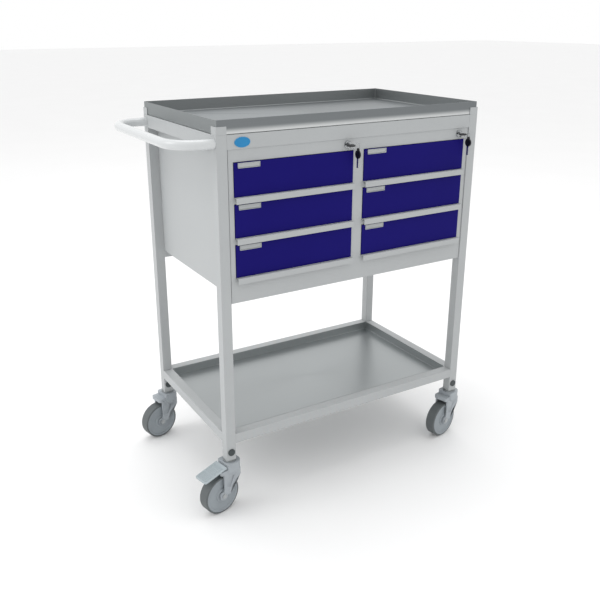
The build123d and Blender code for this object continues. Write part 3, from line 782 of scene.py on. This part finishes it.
# %% Copy the castors to the four posts
CASTOR_TURN = math.radians(12)
castor_turn = Matrix.Rotation(CASTOR_TURN, 4, "Z")
for corner in ("front_left", "front_right", "rear_left", "rear_right"):
    post_low, post_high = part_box("post_" + corner)
    stem = (Vector(post_low) + Vector(post_high)) / 2
    place = Matrix.Translation((stem.x, stem.y, 0.0)) @ castor_turn
    has_brake = "brake_pedal_" + corner in nodes
    fork = placed_copy(braked_fork if has_brake else plain_fork, "fork_" + corner, place)
    hand_over(fork, "castor_" + corner, "castor_grey", "castor_fork_" + corner)
    rolling = placed_copy(wheel, "wheel_" + corner, place)
    hand_over(rolling, "wheel_" + corner, "wheel_grey", "castor_wheel_" + corner)
    if has_brake:
        tongue = placed_copy(pedal, "pedal_" + corner, place)
        hand_over(tongue, "pedal_" + corner, "pedal_grey", "brake_pedal_" + corner)
for master in (wheel, plain_fork, braked_fork, pedal):
    bpy.data.objects.remove(master)
print("castors placed")

# %% [markdown]
# ## Trays
# Each tray is one folded sheet. A cube gets its top face inset by the sheet's thickness and
# pushed down to the floor; the folds along the bottom and at the corners are then bevelled. The
# walls are brushed along their length. The top tray has one finish for its floor, one for its
# inside walls, one for its long outside walls and one for its ends: copies of one stainless in
# other tones, as painted light and shade, the outside walls darker with a pale band along the
# lower fold as painted reflection. The shelf has one for its floor and one for all its walls, a
# slightly darker copy as painted shade.

# %% Trays
def tray(name, node_name, sheet, fold, corner, finishes):
    """Model a tray in the place of a CAD tray."""
    low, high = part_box(node_name)
    piece = cube(name, low, high)
    edit(piece, "EDGE", lambda e: edge_runs(e, 2))
    bpy.ops.mesh.bevel(offset=corner, segments=4, affect="EDGES")
    done()
    edit(piece, "FACE", lambda face: face.normal.z > 0.9)
    bpy.ops.mesh.inset(thickness=sheet)
    floor_z = low[2] + sheet
    bpy.ops.mesh.extrude_region_move(TRANSFORM_OT_translate={"value": (0, 0, floor_z - high[2])})
    done()

    def is_bottom_edge(edge):
        height = edge_middle(edge).z
        return not edge_runs(edge, 2) and min(abs(height - low[2]), abs(height - floor_z)) < 1e-5

    edit(piece, "EDGE", is_bottom_edge)
    bpy.ops.mesh.bevel(offset=fold, segments=5, affect="EDGES")
    done()
    soften(piece, 0.0003, 2)
    paint(piece, *finishes)
    inside = sheet * 0.6

    def is_inside(centre):
        near_x = min(centre.x - low[0], high[0] - centre.x) > inside
        near_y = min(centre.y - low[1], high[1] - centre.y) > inside
        return near_x and near_y

    # Inside walls, long outside walls and ends take the copies in other tones: painted light, shade
    # and reflection.
    paint_faces(piece, 1, lambda centre, normal: abs(normal.z) < 0.9 and is_inside(centre))
    paint_faces(piece, 2, lambda centre, normal: abs(normal.z) < 0.9 and not is_inside(centre))
    paint_faces(piece, 3, lambda centre, normal: abs(normal.x) > 0.6 and not is_inside(centre))
    hand_over(piece, "cart", "stainless_tray", node_name)
    print(name, "faces", len(piece.data.polygons))


top_finishes = (tray_steel, tray_wall_inside, tray_outside_painted_reflection, tray_wall_end)
shelf_finishes = (shelf_steel, shelf_walls_painted_shade, shelf_walls_painted_shade, shelf_walls_painted_shade)
tray("top_tray_folded", "top_tray", 0.0015, 0.0028, 0.003, top_finishes)
tray("shelf_tray_folded", "shelf_tray", 0.0012, 0.001, 0.0015, shelf_finishes)

# %% [markdown]
# ## Badge, card holders, locks and keys
# The small fittings tell the eye how big the cart is. The badge is a shallow enamel dome in a
# raised rim. A card holder is a grey clip with a paper card behind its lips. The lock has a
# chamfered chrome collar, and its keys have black moulded heads and bright steel blades.

# %% Badge
badge_low, badge_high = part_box("badge_plate")
badge_middle = (Vector(badge_low) + Vector(badge_high)) / 2
BADGE_HALF_WIDTH = 0.01925
BADGE_HALF_HEIGHT = 0.0115
RIM_FROM = 0.93  # the rim starts this share of the way out
stretch = BADGE_HALF_WIDTH / BADGE_HALF_HEIGHT
thickness = badge_high[1] - badge_low[1]
badge = cylinder("badge_dome", badge_middle, BADGE_HALF_HEIGHT, thickness, "Y", 64)
edit(badge, "FACE", lambda face: True)
bpy.ops.transform.resize(value=(stretch, 1, 1), center_override=badge_middle)
done()
edit(badge, "FACE", lambda face: face.normal.y < -0.9)
bpy.ops.mesh.inset(thickness=0.0012)
bpy.ops.mesh.inset(thickness=0.0005, depth=-0.0005)
bpy.ops.mesh.inset(thickness=0.003, depth=0.0003)
done()
soften(badge, 0.00015, 2)
paint(badge, badge_enamel, badge_rim)


def on_rim(centre, normal):
    """True for a face of the badge that belongs to its rim."""
    across = (centre.x - badge_middle.x) / BADGE_HALF_WIDTH
    upward = (centre.z - badge_middle.z) / BADGE_HALF_HEIGHT
    return math.hypot(across, upward) > RIM_FROM


paint_faces(badge, 1, on_rim)
hand_over(badge, "cart", "badge_blue", "badge_plate")
print("badge", len(badge.data.polygons))

# %% Card holders
CARD_SETBACK = 0.0005
for node_name in sorted(n for n in nodes if n.startswith("label_holder_")):
    low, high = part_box(node_name)
    holder = cube(node_name.replace("label_", "card_"), low, high)
    edit(holder, "EDGE", lambda e: edge_runs(e, 1) and edge_middle(e).z < (low[2] + high[2]) / 2)
    bpy.ops.mesh.bevel(offset=0.0012, segments=3, affect="EDGES")
    done()
    edit(holder, "FACE", lambda face: face.normal.y < -0.9)
    bpy.ops.mesh.inset(thickness=0.0013)
    bpy.ops.mesh.inset(thickness=0.0002, depth=-0.0009)
    done()
    soften(holder, 0.00025, 2)
    paint(holder, holder_plastic, blank_card)
    paint_faces(holder, 1, lambda centre, normal: normal.y < -0.9 and centre.y > low[1] + CARD_SETBACK)
    hand_over(holder, body_of_node[node_name], "label_grey", node_name)
print("card holders done")

# %% Locks and keys
LOCK_HEIGHT = 0.882
HEAD_RADIUS = 0.010
HEAD_THICKNESS = 0.003
RIM_WIDTH = 0.0022
RIM_STEP = 0.0004
BLADE_HALF_WIDTH = 0.0036
BLADE_HALF_THICKNESS = 0.00095
BLADE_START = 0.008  # from the middle of the head
RING_HOLE_RADIUS = 0.0019
TAB_RADIUS = 0.004
TAB_HOLE_RADIUS = 0.0021
HEAD_DROP = 0.011  # from the tab's hole to the middle of the head
TEETH = 4
TOOTH_PITCH = 0.0042
TOOTH_WIDTH = 0.0018


def key_head(name, middle, axis):
    """Model a round key head with a raised rim on both faces."""
    head = cylinder(name, middle, HEAD_RADIUS, HEAD_THICKNESS, axis, 48)
    across = "XYZ".index(axis)
    edit(head, "FACE", lambda face: abs(face.normal[across]) > 0.9)
    bpy.ops.mesh.inset(thickness=RIM_WIDTH)
    bpy.ops.mesh.inset(thickness=RIM_STEP, depth=-RIM_STEP)
    done()
    return head


def join_blade(head, blade, body, node_name):
    """Join a key's steel blade to its head and hand the key over."""
    soften(blade, 0.0002, 1)
    paint(head, key_plastic, zinc)
    paint(blade, zinc)
    activate(head)
    blade.select_set(True)
    bpy.ops.object.join()
    hand_over(head, body, "black_plastic", node_name)


for side in ("left", "right"):
    key_low, key_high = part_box("key_" + side)
    lock_x = (key_low[0] + key_high[0]) / 2
    bow_y = key_low[1] + HEAD_RADIUS
    bow = key_head("key_bow_" + side, (lock_x, bow_y, LOCK_HEIGHT), "Z")
    hole_middle = (lock_x + 0.0063, bow_y - 0.0015, LOCK_HEIGHT)
    combine(bow, cylinder("ring_hole", hole_middle, RING_HOLE_RADIUS, 0.01, "Z", 24), "DIFFERENCE")
    soften(bow, 0.0006, 3)
    blade = cube(
        "blade",
        (lock_x - BLADE_HALF_WIDTH, bow_y + BLADE_START, LOCK_HEIGHT - BLADE_HALF_THICKNESS),
        (lock_x + BLADE_HALF_WIDTH, key_high[1], LOCK_HEIGHT + BLADE_HALF_THICKNESS),
    )
    join_blade(bow, blade, "lock_" + side, "key_" + side)

    spare_low, spare_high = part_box("spare_key_" + side)
    spare_x = (spare_low[0] + spare_high[0]) / 2
    spare_y = (spare_low[1] + spare_high[1]) / 2
    tab_middle = (spare_x, spare_y, spare_high[2] - TAB_RADIUS)
    head_z = spare_high[2] - TAB_RADIUS - HEAD_DROP
    head = key_head("spare_key_head_" + side, (spare_x, spare_y, head_z), "X")
    combine(head, cylinder("tab", tab_middle, TAB_RADIUS, HEAD_THICKNESS, "X", 32), "UNION")
    combine(head, cylinder("hole", tab_middle, TAB_HOLE_RADIUS, 0.01, "X", 24), "DIFFERENCE")
    soften(head, 0.0005, 3)
    shank = cube(
        "shank",
        (spare_x - BLADE_HALF_THICKNESS, spare_y - BLADE_HALF_WIDTH, spare_low[2]),
        (spare_x + BLADE_HALF_THICKNESS, spare_y + BLADE_HALF_WIDTH, head_z - BLADE_START),
    )
    for notch in range(TEETH):
        tooth_z = spare_low[2] + 0.003 + notch * TOOTH_PITCH
        tooth_y = spare_y - 0.0026 + 0.0004 * (notch % 2)
        tooth = cube(
            "tooth",
            (spare_x - 0.002, spare_y - 0.0045, tooth_z),
            (spare_x + 0.002, tooth_y, tooth_z + TOOTH_WIDTH),
        )
        combine(shank, tooth, "DIFFERENCE")
    join_blade(head, shank, "spare_" + side, "spare_key_" + side)
print("locks and keys done")

# %% [markdown]
# ## Floor, light and camera
# The cart stands in a plain white studio: a pale floor that runs out of sight, an even white sky
# and two large soft lamps. One is high on the left, so left-hand faces are paler than the front,
# and a wider one hangs overhead. The camera is at chest height off the front left corner.

# %% Floor
FLOOR_SIZE = 60
bpy.ops.mesh.primitive_plane_add(size=FLOOR_SIZE, location=(0, 0, 0))
floor = bpy.context.object
floor.name = "studio_floor"
floor_finish, floor_shader = new_finish("white_studio_floor", Roughness=0.9)
floor_place = add_node(floor_finish, "ShaderNodeTexCoord")
floor_noise = add_node(
    floor_finish,
    "ShaderNodeTexNoise",
    {"Scale": 2.0},
    {"Vector": floor_place.outputs["Object"]},
)
two_tone(floor_finish, floor_shader, floor_noise.outputs["Fac"], "#F4F4F4", "#F7F7F7")
floor.data.materials.append(floor_finish)
print("floor", floor.name)

# %% Lights
world = bpy.data.worlds.new("white_studio")
bpy.context.scene.world = world
world.use_nodes = True
sky = world.node_tree.nodes["Background"]
sky.inputs["Color"].default_value = srgb("#FFFFFF")
sky.inputs["Strength"].default_value = 1.0


def soft_lamp(name, place, target, size, watts):
    """Add a square area lamp that faces a point."""
    bpy.ops.object.light_add(type="AREA", location=place)
    lamp = bpy.context.object
    lamp.name = name
    lamp.data.shape = "SQUARE"
    lamp.data.size = size
    lamp.data.energy = watts
    lamp.rotation_euler = (Vector(target) - Vector(place)).to_track_quat("-Z", "Y").to_euler()


cart_middle = (0.0, 0.0, 0.6)
soft_lamp("key_lamp", (-2.8, 0.6, 2.6), cart_middle, 1.8, 25.0)
soft_lamp("top_lamp", (0.3, 0.6, 4.0), cart_middle, 2.6, 40.0)
print("lights ready")

# %% Camera
CAMERA_PLACE = (-0.97895, -1.64022, 1.1615)
CAMERA_DIP = 19.294  # degrees below level
CAMERA_TURN = -30.622  # degrees from facing +Y
bpy.ops.object.camera_add(location=CAMERA_PLACE)
camera = bpy.context.object
camera.name = "eye_level_camera"
camera.rotation_euler = (math.radians(90 - CAMERA_DIP), 0.0, math.radians(CAMERA_TURN))
camera.data.sensor_width = 36.0
camera.data.lens = 44.335
camera.data.shift_x = 0.0097
camera.data.shift_y = -0.0386
bpy.context.scene.camera = camera
bpy.context.scene.view_settings.view_transform = "Standard"
print("camera at", tuple(camera.location))
